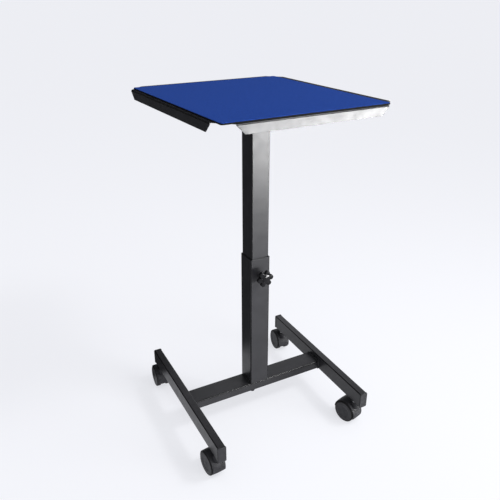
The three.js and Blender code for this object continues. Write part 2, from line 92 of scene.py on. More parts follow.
COLUMN = Vector((0, -SETBACK, 0))
BAR_TOP = LOAD_HEIGHT + BAR_H
BAR_LENGTH = RAIL_SPACING - RAIL_W
SLEEVE_TOP = BAR_TOP + SLEEVE_H
PLATE_TOP = TRAY_TOP - SHEET
MAST_TOP = PLATE_TOP - PLATE_T
BORE = SLEEVE - 2 * SLEEVE_WALL
MAST_PLAY = RUNNING_GAP
CORNER_SHARE = (BORE / 2 - MAST_PLAY - MAST_CORNER) / (MAST / 2 - MAST_CORNER)
MAST_TURN = math.asin(CORNER_SHARE**2 - 1) / 2
STEM_Y = RAIL_LENGTH / 2 + CAP_HEAD - STEM_INSET
HOOD_IN = WHEEL_R + HOOD_CLEARANCE
HOOD_OUT = HOOD_IN + HOOD_WALL
CLAMP_HEIGHT = SLEEVE_TOP - CLAMP_DROP

# Frames of the cart's groups

AT_COLUMN = Matrix.Translation(COLUMN)
AT_MAST = AT_COLUMN @ Matrix.Rotation(MAST_TURN, 4, "Z")
CLAMP_MOUTH = COLUMN + Vector((0, -SLEEVE / 2, CLAMP_HEIGHT))
AT_CLAMP = Matrix.Translation(CLAMP_MOUTH) @ Matrix.Rotation(math.pi / 2, 4, "X")


def at(*place):
    return Matrix.Translation(place)


# Camera: from the left of the front, above the tray

FOCAL_PIXELS, FRAME_PIXELS = 563.5, 500
CAMERA_PLACE = Vector((-507.1, -937.6, 897.3)) * MM + COLUMN
CAMERA_YAW, CAMERA_DOWN = math.radians(-27.81), math.radians(24.90)
SENSOR_WIDTH, FAR_CLIP = 36, 300


def add_camera():
    data = bpy.data.cameras.new("camera")
    data.sensor_width = SENSOR_WIDTH
    data.lens = FOCAL_PIXELS / FRAME_PIXELS * data.sensor_width
    data.clip_end = FAR_CLIP
    camera = bpy.data.objects.new("camera", data)
    camera.location = CAMERA_PLACE
    camera.rotation_euler = (math.pi / 2 - CAMERA_DOWN, 0, CAMERA_YAW)
    bpy.context.scene.collection.objects.link(camera)
    bpy.context.scene.camera = camera


# Materials

def new_material(name):
    material = bpy.data.materials.new(name)
    material.use_nodes = True
    tree = material.node_tree
    shader = next(n for n in tree.nodes if n.type == "BSDF_PRINCIPLED")
    return material, tree, shader


def add_node(tree, kind, **settings):
    """A node with its properties and its sockets' values set by name."""
    node = tree.nodes.new(kind)
    for key, value in settings.items():
        if hasattr(node, key) and key not in node.inputs:
            setattr(node, key, value)
        else:
            node.inputs[key].default_value = value
    return node


def noise_at(tree, scale, detail=2.0):
    """Noise on the piece's own coordinates, in features per metre."""
    place = add_node(tree, "ShaderNodeTexCoord")
    texture = add_node(tree, "ShaderNodeTexNoise", Scale=scale, Detail=detail)
    tree.links.new(place.outputs["Object"], texture.inputs["Vector"])
    return texture.outputs["Fac"]


def ramp(tree, source, low, high, start=0.35, end=0.65):
    """A colour or a level that runs from low to high as the source runs from start to end."""
    node = add_node(tree, "ShaderNodeValToRGB")
    for element, position, value in zip(node.color_ramp.elements, (start, end), (low, high)):
        element.position = position
        element.color = (*value, 1) if hasattr(value, "__len__") else (value, value, value, 1)
    tree.links.new(source, node.inputs["Fac"])
    return node.outputs["Color"]


def bump(tree, shader, height, depth, strength=1.0, before=None):
    """Relief of a real depth on a shader, on top of the relief before it."""
    node = add_node(tree, "ShaderNodeBump", Strength=strength, Distance=depth)
    tree.links.new(height, node.inputs["Height"])
    if before:
        tree.links.new(before, node.inputs["Normal"])
    tree.links.new(node.outputs["Normal"], shader.inputs["Normal"])
    return node.outputs["Normal"]


SHADE_AND_GLOSS_MARK = "painted_shade_and_gloss"  # a face's mark: the bent corners of tube and sheet, and the treads of the wheels, which get painted shade, a darker colour; the corners are also glossier


def marked_mix(tree, plain, at_mark, socket):
    """Sends a colour or level to a shader's socket, with another one on the marked faces."""
    mark = add_node(tree, "ShaderNodeAttribute", attribute_name=SHADE_AND_GLOSS_MARK)
    mix = add_node(tree, "ShaderNodeMix", data_type="RGBA")
    tree.links.new(mark.outputs["Fac"], mix.inputs["Factor"])
    tree.links.new(plain, mix.inputs["A"])
    mix.inputs["B"].default_value = (*at_mark, 1)
    tree.links.new(mix.outputs["Result"], socket)


def painted_steel():
    """Charcoal powder coat: a fine orange peel with a satin sheen, glossier on bent corners, where a darker
    colour is painted shade.
    """
    material, tree, shader = new_material("charcoal_powder_coat")
    tone = ramp(tree, noise_at(tree, 22, 4), (0.019, 0.019, 0.021), (0.0235, 0.0235, 0.026))
    satin = ramp(tree, noise_at(tree, 60, 3), 0.30, 0.36)
    # Painted shade: a near-black colour on the marked corners draws dark lines along the bent edges.
    marked_mix(tree, tone, (0.006, 0.006, 0.007), shader.inputs["Base Color"])
    marked_mix(tree, satin, (0.26, 0.26, 0.26), shader.inputs["Roughness"])
    shader.inputs["Specular IOR Level"].default_value = 0.25
    peel = bump(tree, shader, noise_at(tree, 900, 2), 0.05 * MM, 0.5)
    bump(tree, shader, noise_at(tree, 3200, 1), 0.02 * MM, 0.5, peel)
    return material


def moulded_plastic(name, dark, light, rough, painted_tread_shade=None):
    """Black moulded plastic, with a faint flow mottle and a spark-eroded grain; a tread gets painted shade,
    a darker colour.
    """
    material, tree, shader = new_material(name)
    tone = ramp(tree, noise_at(tree, 90, 3), dark, light)
    if painted_tread_shade:
        marked_mix(tree, tone, painted_tread_shade, shader.inputs["Base Color"])
    else:
        tree.links.new(tone, shader.inputs["Base Color"])
    gloss = ramp(tree, noise_at(tree, 260, 3), rough - 0.05, rough + 0.07)
    tree.links.new(gloss, shader.inputs["Roughness"])
    shader.inputs["Specular IOR Level"].default_value = 0.18
    bump(tree, shader, noise_at(tree, 2600, 2), 0.02 * MM, 0.5)
    return material


def polished_plastic():
    """The star knob: polished black, with faint handling marks."""
    material, tree, shader = new_material("polished_black")
    tone = ramp(tree, noise_at(tree, 120, 2), (0.003, 0.003, 0.0035), (0.005, 0.005, 0.006))
    tree.links.new(tone, shader.inputs["Base Color"])
    marks = ramp(tree, noise_at(tree, 400, 5), 0.13, 0.24, 0.45, 0.75)
    tree.links.new(marks, shader.inputs["Roughness"])
    shader.inputs["Specular IOR Level"].default_value = 0.2
    return material


def plated_steel(name, dark, light):
    """Zinc plate or black zinc: a fine crystal grain in tone and gloss."""
    material, tree, shader = new_material(name)
    tone = ramp(tree, noise_at(tree, 500, 4), dark, light)
    tree.links.new(tone, shader.inputs["Base Color"])
    shader.inputs["Metallic"].default_value = 1.0
    grain = ramp(tree, noise_at(tree, 1500, 3), 0.28, 0.46)
    tree.links.new(grain, shader.inputs["Roughness"])
    return material


def foam_rubber():
    """The mat's black rubber: matt, with fine open pores."""
    material, tree, shader = new_material("foam_rubber")
    tone = ramp(tree, noise_at(tree, 300, 4), (0.004, 0.004, 0.0045), (0.008, 0.008, 0.009))
    tree.links.new(tone, shader.inputs["Base Color"])
    shader.inputs["Roughness"].default_value = 0.75
    shader.inputs["Specular IOR Level"].default_value = 0.04
    bump(tree, shader, noise_at(tree, 1800, 3), 0.08 * MM, 0.6)
    return material


def woven_cloth():
    """Blue polyester facing: a fine plain weave with a soft sheen and a little nap."""
    material, tree, shader = new_material("blue_weave")
    place = add_node(tree, "ShaderNodeTexCoord")
    threads = []
    for axis in ("X", "Y"):
        wave = add_node(tree, "ShaderNodeTexWave", wave_type="BANDS", bands_direction=axis)
        wave.inputs["Scale"].default_value = 260
        wave.inputs["Distortion"].default_value = 0.6
        wave.inputs["Detail"].default_value = 1
        wave.inputs["Detail Scale"].default_value = 2
        tree.links.new(place.outputs["Object"], wave.inputs["Vector"])
        threads.append(wave.outputs["Fac"])
    weave = add_node(tree, "ShaderNodeMath", operation="MULTIPLY")
    for socket, thread in zip(weave.inputs, threads):
        tree.links.new(thread, socket)
    deep, bright = (0.0085, 0.040, 0.225), (0.0135, 0.057, 0.315)
    mottle = ramp(tree, noise_at(tree, 420, 6), deep, bright, 0.4, 0.6)
    shade = ramp(tree, weave.outputs["Value"], 0.72, 1.0, 0.0, 0.6)
    mix = add_node(tree, "ShaderNodeMix", data_type="RGBA", blend_type="MULTIPLY")
    mix.inputs["Factor"].default_value = 1.0
    tree.links.new(mottle, mix.inputs["A"])
    tree.links.new(shade, mix.inputs["B"])
    tree.links.new(mix.outputs["Result"], shader.inputs["Base Color"])
    shader.inputs["Roughness"].default_value = 0.9
    shader.inputs["Specular IOR Level"].default_value = 0.04
    shader.inputs["Sheen Weight"].default_value = 0.06
    shader.inputs["Sheen Roughness"].default_value = 0.4
    shader.inputs["Sheen Tint"].default_value = (0.45, 0.6, 1.0, 1)
    nap = bump(tree, shader, weave.outputs["Value"], 0.12 * MM, 0.7)
    bump(tree, shader, noise_at(tree, 1400, 3), 0.1 * MM, 0.4, nap)
    return material


def wheel_plastic():
    # The tread's near-black colour is painted shade, for the dark band between wheel and hood.
    dark, light, painted_tread_shade = (0.03, 0.03, 0.033), (0.044, 0.044, 0.048), (0.003, 0.003, 0.003)
    return moulded_plastic("wheel_grey", dark, light, 0.5, painted_tread_shade=painted_tread_shade)


PAINT = painted_steel()
FINISH = {
    "powder_coat": PAINT,
    "cap_plastic": moulded_plastic("cap_black", (0.018, 0.018, 0.020), (0.026, 0.026, 0.029), 0.5),
    "knob_plastic": polished_plastic(),
    "caster_plastic": moulded_plastic("nylon_black", (0.014, 0.014, 0.016), (0.022, 0.022, 0.025), 0.55),
    "wheel_plastic": wheel_plastic(),
    "zinc_steel": plated_steel("zinc_plate", (0.36, 0.36, 0.37), (0.5, 0.5, 0.52)),
    "black_zinc": plated_steel("black_zinc", (0.02, 0.02, 0.022), (0.036, 0.036, 0.04)),
    "mat_rubber": foam_rubber(),
    "mat_cloth": woven_cloth(),
}


# Every solid of the cart gets its finish; a piece made below then stands for most of them

NODE_SLOT = {part["node"]: part["material_slot"] for part in frame["record"]["subparts"]}
for node_name, solid in frame["nodes"].items():
    solid.data.materials.clear()
    solid.data.materials.append(FINISH[NODE_SLOT[node_name]])


# Outlines, as lists of points in a plane

ROUND_STEPS = 48


def turn_angles(steps):
    return [2 * math.pi * step / steps for step in range(steps)]


def polar(radius, angle):
    return Vector((radius * math.cos(angle), radius * math.sin(angle)))


def circle(radius, steps=ROUND_STEPS):
    return [polar(radius, angle) for angle in turn_angles(steps)]


def arc(middle, radius, start, end, steps):
    """Points on an arc, both ends included, in degrees."""
    angles = [math.radians(start + (end - start) * step / steps) for step in range(steps + 1)]
    return [Vector(middle) + polar(radius, angle) for angle in angles]


def hexagon(flats):
    """A hexagon's outline, with many points on each side."""
    points = []
    for angle in turn_angles(ROUND_STEPS):
        off = (angle + math.pi / 6) % (math.pi / 3) - math.pi / 6
        points.append(polar(flats / 2 / math.cos(off), angle))
    return points


def rounded_rectangle(width, depth, radius, corner_steps=6, side_steps=1):
    """Counter-clockwise from the right side; its straight sides may be cut into equal steps."""
    corners = []
    for quarter, (side, end) in enumerate(((1, 1), (-1, 1), (-1, -1), (1, -1))):
        middle = Vector((side * (width / 2 - radius), end * (depth / 2 - radius)))
        angles = [(quarter + step / corner_steps) * math.pi / 2 for step in range(corner_steps + 1)]
        corners.append([middle + polar(radius, angle) for angle in angles])
    points = []
    for corner, following in zip(corners, corners[1:] + corners[:1]):
        points += corner
        points += [corner[-1].lerp(following[0], step / side_steps) for step in range(1, side_steps)]
    return points


# Solids: rings of points joined ring to ring

SAME_POINT = 0.0001 * MM


def lift(outline, height):
    return [Vector((*point, height)) for point in outline]


def skin(rings, closed=False):
    """A solid through its rings; it comes back to the first one, or ends in a face at each end."""
    mesh = bmesh.new()
    rows = [[mesh.verts.new(point) for point in ring] for ring in rings]
    for row, following in zip(rows, rows[1:] + rows[:1] if closed else rows[1:]):
        for i in range(len(row)):
            j = (i + 1) % len(row)
            mesh.faces.new((row[i], row[j], following[j], following[i]))
    if not closed:
        mesh.faces.new(rows[0][::-1])
        mesh.faces.new(rows[-1])
    bmesh.ops.remove_doubles(mesh, verts=mesh.verts, dist=SAME_POINT)
    bmesh.ops.recalc_face_normals(mesh, faces=mesh.faces)
    return mesh


def lathe(profile, steps=ROUND_STEPS, closed=False):
    """A turned solid about Z from (radius, height) points."""
    return skin([lift(circle(radius, steps), height) for radius, height in profile], closed)


def rounded_rim(radius, steps):
    """A quarter round from a side to a face: how far each ring is drawn in, and lies below the face."""
    turns = [step / steps * math.pi / 2 for step in range(steps + 1)]
    return [(radius * (1 - math.cos(turn)), radius * (1 - math.sin(turn))) for turn in turns]


def plate(outline_at, bottom, top, edge, edge_steps=3):
    """A flat solid with rounded rims; outline_at gives its outline, drawn in by an inset."""
    rim = rounded_rim(edge, edge_steps)
    rings = [lift(outline_at(inset), bottom + depth) for inset, depth in rim[::-1]]
    return skin(rings + [lift(outline_at(inset), top - depth) for inset, depth in rim])


def tube(width, depth, wall, corner, bottom, top):
    """A rectangular tube along Z whose sawn ends have broken edges."""
    outer = rounded_rectangle(width, depth, corner)
    outer_break = rounded_rectangle(width - 2 * HAIRLINE, depth - 2 * HAIRLINE, corner - HAIRLINE)
    bore_w, bore_d, bore_corner = width - 2 * wall, depth - 2 * wall, corner - wall / 2
    inner = rounded_rectangle(bore_w, bore_d, bore_corner)
    inner_break = rounded_rectangle(bore_w + 2 * HAIRLINE, bore_d + 2 * HAIRLINE, bore_corner + HAIRLINE)
    return skin([
        lift(outer, bottom + HAIRLINE), lift(outer, top - HAIRLINE), lift(outer_break, top),
        lift(inner_break, top), lift(inner, top - HAIRLINE), lift(inner, bottom + HAIRLINE),
        lift(inner_break, bottom), lift(outer_break, bottom),
    ], closed=True)


def hex_body(flats, height, bore=0.0):
    """A hexagon head or nut along Z from its seat at 0, chamfered at its free end."""
    chamfer_slope, face_share, seat = math.tan(math.radians(30)), 0.94, 0.3 * MM
    face_radius = flats / 2 * face_share
    sides = hexagon(flats)
    chamfer = []
    for point in sides:
        drop = max(0.0, point.length - face_radius) * chamfer_slope
        chamfer.append(Vector((*point, height - drop)))
    outside = [
        lift(circle(face_radius), 0), lift(circle(face_radius), seat), lift(sides, seat),
        chamfer, lift(circle(face_radius), height),
    ]
    if not bore:
        return skin(outside)
    return skin(outside + [lift(circle(bore), height), lift(circle(bore), 0)], closed=True)


def threaded_rod(radius, pitch, bottom, top, steps=24, rows_per_pitch=8):
    """A rod along Z with a screw thread cut in it and tapered ends."""
    thread_share, crest_power = 0.6, 1.3
    depth = thread_share * pitch
    rows = max(2, round((top - bottom) / pitch * rows_per_pitch))
    rings = []
    for row in range(rows + 1):
        height = bottom + (top - bottom) * row / rows
        near_end = min(height - bottom, top - height)
        taper = max(0.0, depth - near_end)
        ring = []
        for step, angle in enumerate(turn_angles(steps)):
            phase = (height / pitch - step / steps) % 1
            groove = depth * (1 - abs(2 * phase - 1)) ** crest_power
            ring.append(polar(radius - max(groove, taper), angle))
        rings.append(lift(ring, height))
    return skin(rings)


# Pieces: solids in their place, on their body, with their finish

SHARP_ANGLE = math.radians(38)


def to_piece(name, solids, place, body, slot, *nodes):
    """Joins solids into one piece that rides on a body and stands for its nodes."""
    joined = bmesh.new()
    for solid in solids if isinstance(solids, list) else [solids]:
        scratch = bpy.data.meshes.new("scratch")
        solid.to_mesh(scratch)
        joined.from_mesh(scratch)
        bpy.data.meshes.remove(scratch)
    if slot == "powder_coat":
        mark_corners(joined)
    if slot == "wheel_plastic":
        mark_tread(joined)
    joined.transform(place)
    mesh = bpy.data.meshes.new(name)
    joined.to_mesh(mesh)
    mesh.shade_smooth()
    mesh.set_sharp_from_angle(angle=SHARP_ANGLE)
    mesh.materials.append(FINISH[slot])
    piece = bpy.data.objects.new(name, mesh)
    bpy.context.scene.collection.objects.link(piece)
    even = piece.modifiers.new("flat faces stay flat", "WEIGHTED_NORMAL")
    even.keep_sharp = True
    settle(piece)
    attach(piece, body)
    if nodes:
        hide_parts(*nodes)
    return piece


def mark_corners(mesh):
    """Marks the narrow facets that turn a bent corner, which get painted shade and more gloss."""
    layer = mesh.faces.layers.float.new(SHADE_AND_GLOSS_MARK)
    widest, least, most = 1.2 * MM, math.radians(6), math.radians(25)
    for face in mesh.faces:
        turns = [edge.calc_face_angle_signed(0) for edge in face.edges if edge.is_manifold]
        narrow = min(edge.calc_length() for edge in face.edges) < widest
        if narrow and any(least < turn < most for turn in turns):
            face[layer] = 1.0


def mark_tread(mesh):
    """Marks a wheel's outer ring, which is its tread, for painted shade."""
    layer = mesh.faces.layers.float.new(SHADE_AND_GLOSS_MARK)
    for face in mesh.faces:
        face[layer] = float(face.calc_center_median().xy.length > WHEEL_R - TREAD)


def settle(piece):
    """Turns a piece's modifiers into its plain mesh."""
    graph = bpy.context.evaluated_depsgraph_get()
    mesh = bpy.data.meshes.new_from_object(piece.evaluated_get(graph), depsgraph=graph)
    rough = piece.data
    piece.modifiers.clear()
    piece.data = mesh
    bpy.data.meshes.remove(rough)
    mesh.name = piece.name


# Base

RAIL_SIDES = (("left", -RAIL_SPACING / 2), ("right", RAIL_SPACING / 2))


def make_rails():
    along = Matrix.Rotation(math.pi / 2, 4, "X")
    for side, x in RAIL_SIDES:
        place = AT_COLUMN @ at(x, RAIL_LENGTH / 2, LOAD_HEIGHT + RAIL_H / 2) @ along
        body = tube(RAIL_W, RAIL_H, RAIL_WALL, RAIL_CORNER, 0, RAIL_LENGTH)
        to_piece(f"rail_{side}", body, place, "base", "powder_coat", f"{side}_rail")


def end_cap():
    """A ribbed plug along -Z and its cushioned head, which covers the tube's end at 0."""
    head_w, head_h = RAIL_W + 2 * CAP_PROUD, RAIL_H + 2 * CAP_PROUD
    lip, least_corner, edge_steps = 0.3 * MM, CAP_CORNER / 4, 5

    def head_ring(inset, height):
        corner = max(CAP_CORNER - inset, least_corner)
        return lift(rounded_rectangle(head_w - 2 * inset, head_h - 2 * inset, corner), height)

    head = [head_ring(CAP_PROUD + RAIL_WALL, 0), head_ring(lip, 0), head_ring(0, lip)]
    head += [head_ring(inset, CAP_HEAD - depth) for inset, depth in rounded_rim(CAP_EDGE, edge_steps)]

    rib, rib_count = 0.3 * MM, 4
    bore_w, bore_h = RAIL_W - 2 * RAIL_WALL, RAIL_H - 2 * RAIL_WALL
    wide = rounded_rectangle(bore_w - 2 * rib, bore_h - 2 * rib, 2 * rib)
    slim = rounded_rectangle(bore_w - 4 * rib, bore_h - 4 * rib, rib)
    plug = [lift(slim, -CAP_DEPTH)]
    for count in range(rib_count):
        low = -CAP_DEPTH * (1 - count / rib_count)
        high = low + CAP_DEPTH / rib_count
        plug += [lift(slim, low + rib), lift(wide, (low + high) / 2), lift(slim, high - rib)]
    return [skin(head), skin(plug + [lift(slim, lip)])]


def make_end_caps():
    for side, x in RAIL_SIDES:
        for end, sign in (("front", -1), ("back", 1)):
            facing = Matrix.Rotation(-sign * math.pi / 2, 4, "X")
            place = AT_COLUMN @ at(x, sign * RAIL_LENGTH / 2, LOAD_HEIGHT + RAIL_H / 2) @ facing
            node = f"{end}_{side}_end_cap"
            to_piece(f"cap_{end}_{side}", end_cap(), place, "base", "cap_plastic", node)


def make_crossbar():
    across = Matrix.Rotation(math.pi / 2, 4, "Y")
    place = AT_COLUMN @ at(-BAR_LENGTH / 2, 0, LOAD_HEIGHT + BAR_H / 2) @ across
    body = tube(BAR_H, BAR_D, BAR_WALL, BAR_CORNER, 0, BAR_LENGTH)
    to_piece("cross_bar", body, place, "base", "powder_coat", "crossbar")


def make_sleeve():
    body = tube(SLEEVE, SLEEVE, SLEEVE_WALL, SLEEVE_CORNER, BAR_TOP, SLEEVE_TOP)
    to_piece("outer_tube", body, AT_COLUMN, "base", "powder_coat", "sleeve")


UPSIDE_DOWN = Matrix.Rotation(math.pi, 4, "X")


def foot_washer():
    bore, rim = FOOT_R + HOLE_CLEARANCE, FOOT_WASHER_R - HAIRLINE
    return lathe([
        (rim, 0), (FOOT_WASHER_R, -HAIRLINE), (FOOT_WASHER_R, HAIRLINE - FOOT_WASHER),
        (rim, -FOOT_WASHER), (bore, -FOOT_WASHER), (bore, 0),
    ], closed=True)


def foot_bolt():
    reach = FOOT_WASHER + BAR_H + FOOT_PLATE + FOOT_PITCH
    return [hex_body(FOOT_FLATS, FOOT_HEAD), threaded_rod(FOOT_R, FOOT_PITCH, -reach, HAIRLINE)]


def make_foot_bolts():
    for name, offset in (("front", -FOOT_OFFSET), ("back", FOOT_OFFSET)):
        place = AT_COLUMN @ at(offset, offset, LOAD_HEIGHT - FOOT_WASHER) @ UPSIDE_DOWN
        to_piece(f"foot_washer_{name}", foot_washer(), place, "base", "black_zinc", f"{name}_foot_washer")
        to_piece(f"foot_bolt_{name}", foot_bolt(), place, "base", "black_zinc", f"{name}_foot_bolt")


# Clamp

def lobe_radius(angle, inset):
    """The star's outline, drawn in by an inset: round lobes around a waist."""
    pitch = 2 * math.pi / LOBES
    off = (angle - KNOB_TURN + pitch / 2) % pitch - pitch / 2
    middle, radius = KNOB_R - LOBE_R, LOBE_R - inset
    if middle * abs(math.sin(off)) >= radius:
        return KNOB_WAIST - inset
    return middle * math.cos(off) + math.sqrt(radius**2 - (middle * math.sin(off)) ** 2)


def dome_height(radius):
    """How far the domed middle of the star's front rises above its flat part."""
    return KNOB_CROWN * max(0, 1 - (radius / KNOB_DOME_R) ** 2)


def star_solid(back, face, recess_r):
    """The star from its hub to its front, domed in the middle, with a recess for the cap."""
    star_steps, rim_steps, dome_step = 144, 6, 1 * MM

    def star_ring(inset, height):
        return lift([polar(lobe_radius(angle, inset), angle) for angle in turn_angles(star_steps)], height)

    rim = rounded_rim(KNOB_EDGE, rim_steps)
    rings = [lift(circle(KNOB_HUB_R, star_steps), back)]
    rings += [star_ring(inset, back + depth) for inset, depth in rim[::-1]]
    rings += [star_ring(inset, face - depth) for inset, depth in rim]
    for radius in (KNOB_DOME_R, KNOB_DOME_R - dome_step, KNOB_DOME_R - 2 * dome_step, recess_r + HAIRLINE):
        rings.append(lift(circle(radius, star_steps), face + dome_height(radius)))
    mouth = face + dome_height(recess_r + HAIRLINE) - HAIRLINE
    rings += [lift(circle(recess_r, star_steps), height) for height in (mouth, face - KNOB_CAP)]
    return skin(rings)


def hub_solid(start, end, bore):
    """The knob's hub, with a fillet where the star begins."""
    return lathe([
        (bore, start), (KNOB_HUB_R - 2 * HAIRLINE, start), (KNOB_HUB_R, start + 2 * HAIRLINE),
        (KNOB_HUB_R, end - KNOB_EDGE), (KNOB_HUB_R + 2 * HAIRLINE, end - HAIRLINE),
        (KNOB_HUB_R + KNOB_EDGE, end + HAIRLINE), (bore, end + HAIRLINE),
    ], closed=True)


def knob_cap_solid(face):
    """The cap in the star's recess, which carries on its dome."""
    dome_steps = 8
    profile = [(KNOB_CAP_R, face - KNOB_CAP), (KNOB_CAP_R, face + dome_height(KNOB_CAP_R) - HAIRLINE)]
    for step in range(dome_steps + 1):
        radius = (KNOB_CAP_R - HAIRLINE) * (1 - step / dome_steps)
        profile.append((radius, face + dome_height(radius)))
    return lathe(profile)


def make_clamp():
    nut_bore = STUD_R + HOLE_CLEARANCE
    welded_nut = hex_body(CLAMP_FLATS, CLAMP_NUT_H, nut_bore)
    to_piece("welded_nut", welded_nut, AT_CLAMP, "base", "powder_coat", "clamp_nut")

    hub_start = CLAMP_NUT_H + CLAMP_STANDOFF
    tip_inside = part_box("clamp_stud")[1].y - CLAMP_MOUTH.y
    stud = threaded_rod(STUD_R, STUD_PITCH, -tip_inside, hub_start + STUD_ENGAGE - HOLE_CLEARANCE)
    to_piece("clamp_thread", stud, AT_CLAMP, "clamp_screw", "zinc_steel", "clamp_stud")

    back = hub_start + KNOB_HUB
    face = back + KNOB_T
    star = star_solid(back, face, KNOB_CAP_R + HOLE_CLEARANCE)
    hub = hub_solid(hub_start, back, nut_bore)
    to_piece("star_knob", [star, hub], AT_CLAMP, "clamp_knob", "knob_plastic", "knob")
    to_piece("star_knob_cap", knob_cap_solid(face), AT_CLAMP, "clamp_knob", "knob_plastic", "knob_cap")


# Mast and tray

def make_mast():
    body = tube(MAST, MAST, MAST_WALL, MAST_CORNER, MAST_TOP - MAST_H, MAST_TOP)
    to_piece("inner_tube", body, AT_MAST, "mast", "powder_coat", "mast_tube")

    def plate_outline(inset):
        return rounded_rectangle(PLATE - 2 * inset, PLATE - 2 * inset, PLATE_CORNER - inset)

    body = plate(plate_outline, MAST_TOP, PLATE_TOP, HAIRLINE)
    to_piece("top_plate", body, AT_MAST, "mast", "powder_coat", "mount_plate")


def tray_corners():
    """The eight corners of the flat, which ends where the bends begin and has its corners cut off."""
    half_w, half_d = TRAY_W / 2, TRAY_D / 2
    side_x, side_y = half_w - BEND, half_d - BEND
    cut_x, cut_y = half_w - CORNER_CUT, half_d - CORNER_CUT
    return [Vector((x, y, TRAY_TOP)) for x, y in (
        (cut_x, -side_y), (side_x, -cut_y), (side_x, cut_y), (cut_x, side_y),
        (-cut_x, side_y), (-side_x, cut_y), (-side_x, -cut_y), (-cut_x, -side_y),
    )]


def folded_edge(start, end, outward):
    """Rows of points from the flat's edge over the bend and down the flange, mitred at its ends."""
    rows, bend_steps = [], 8
    for step in range(1, bend_steps + 1):
        angle = step / bend_steps * math.pi / 2
        shift = outward * BEND * math.sin(angle) + Vector((0, 0, -BEND * (1 - math.cos(angle))))
        rows.append((start + shift, end + shift))
    mitre = (end - start).normalized() * MITRE
    down = outward * BEND + Vector((0, 0, -FLANGE))
    rows.append((start + down + mitre, end + down - mitre))
    return rows


def make_tray():
    mesh = bmesh.new()
    corners = tray_corners()
    flat = [mesh.verts.new(corner) for corner in corners]
    mesh.faces.new(flat)
    for first, outward in ((1, (1, 0)), (3, (0, 1)), (5, (-1, 0)), (7, (0, -1))):
        second = (first + 1) % len(corners)
        previous = (flat[first], flat[second])
        for start, end in folded_edge(corners[first], corners[second], Vector((*outward, 0))):
            following = (mesh.verts.new(start), mesh.verts.new(end))
            mesh.faces.new((previous[0], following[0], following[1], previous[1]))
            previous = following
    bmesh.ops.recalc_face_normals(mesh, faces=mesh.faces)
    surface = bpy.data.meshes.new("tray_surface")
    mesh.to_mesh(surface)
    sheet = bpy.data.objects.new("tray_surface", surface)
    bpy.context.scene.collection.objects.link(sheet)
    wall = sheet.modifiers.new("sheet", "SOLIDIFY")
    wall.thickness, wall.offset, wall.use_even_offset = SHEET, -1, True
    edge = sheet.modifiers.new("broken edges", "BEVEL")
    edge.width, edge.segments = HAIRLINE, 2
    edge.limit_method, edge.angle_limit = "ANGLE", math.radians(50)
    settle(sheet)
    solid = bmesh.new()
    solid.from_mesh(sheet.data)
    bpy.data.objects.remove(sheet)
    to_piece("folded_tray", solid, AT_MAST @ at(0, SETBACK, 0), "mast", "powder_coat", "tray")


def flush_stud():
    """A stud pressed flush into the sheet, along -Z from the tray's top."""
    head = lathe([
        (TRAY_BOLT_HEAD_R, -HAIRLINE), (TRAY_BOLT_HEAD_R, HAIRLINE - SHEET),
        (TRAY_BOLT_HEAD_R - HAIRLINE, -SHEET), (0, -SHEET), (0, -HAIRLINE),
    ])
    return [head, threaded_rod(TRAY_BOLT_R, TRAY_BOLT_PITCH, -TRAY_BOLT_LENGTH, -SHEET)]


def make_tray_bolts():
    reach = PLATE / 2 - BOLT_INSET
    places = [(side * reach, end * reach) for end in (-1, 1) for side in (-1, 1)]
    for number, (x, y) in enumerate(places, 1):
        place = AT_MAST @ at(x, y, TRAY_TOP)
        to_piece(f"flush_stud_{number}", flush_stud(), place, "mast", "zinc_steel", f"tray_bolt_{number}")
        nut = hex_body(TRAY_NUT_FLATS, TRAY_NUT_H, TRAY_BOLT_R + HAIRLINE)
        place = AT_MAST @ at(x, y, MAST_TOP) @ UPSIDE_DOWN
        to_piece(f"plate_nut_{number}", nut, place, "mast", "zinc_steel", f"tray_nut_{number}")


def mat_outline(inset, side_steps=1):
    least_corner = 1 * MM
    corner = max(MAT_CORNER - inset, least_corner)
    return rounded_rectangle(MAT_W - 2 * inset, MAT_D - 2 * inset, corner, side_steps=side_steps)


def cloth_solid(bottom):
    """The facing: rings from its cut edge inwards, soft at the rim and a little uneven."""
    side_steps, rim, rim_share, uneven, ripple = 40, 0.35 * MM, 0.3, 0.16 * MM, 60
    ring_insets = (2, 5, 10, 18, 28, 40, 54, 70, 88, 108, 130, 152)
    top = bottom + CLOTH_T
    rows = [(0, bottom), (0, top - rim), (rim_share * rim, top - rim_share * rim), (rim, top)]
    rows += [(inset * MM, top) for inset in ring_insets]
    rings = [lift(mat_outline(CLOTH_INSET + inset, side_steps), height) for inset, height in rows]
    for ring in rings[1:]:
        for point in ring:
            level = noise.noise(Vector((*point.xy, UNEVEN_SEED * MM)) * ripple)
            point.z -= uneven * (0.5 + 0.5 * level)
    return skin(rings)


def make_mat():
    place = AT_MAST @ at(-MAT_LEFT, SETBACK - MAT_FRONT, 0)
    rubber_top = TRAY_TOP + RUBBER_T
    base = plate(mat_outline, TRAY_TOP, rubber_top, HAIRLINE)
    rubber = to_piece("mat_base", base, place, "mast", "mat_rubber", "mat_rubber")

    facing = to_piece("mat_facing", cloth_solid(rubber_top), place, "mast", "mat_cloth", "mat_cloth")


# Casters: each drawn at its swivel axis, with the wheels trailing towards +Y

def from_axle(x, radius, angle):
    """A point on a caster by its distance across, and from the axle at an angle above the front."""
    return Vector((x, TRAIL - radius * math.cos(angle), WHEEL_R + radius * math.sin(angle)))


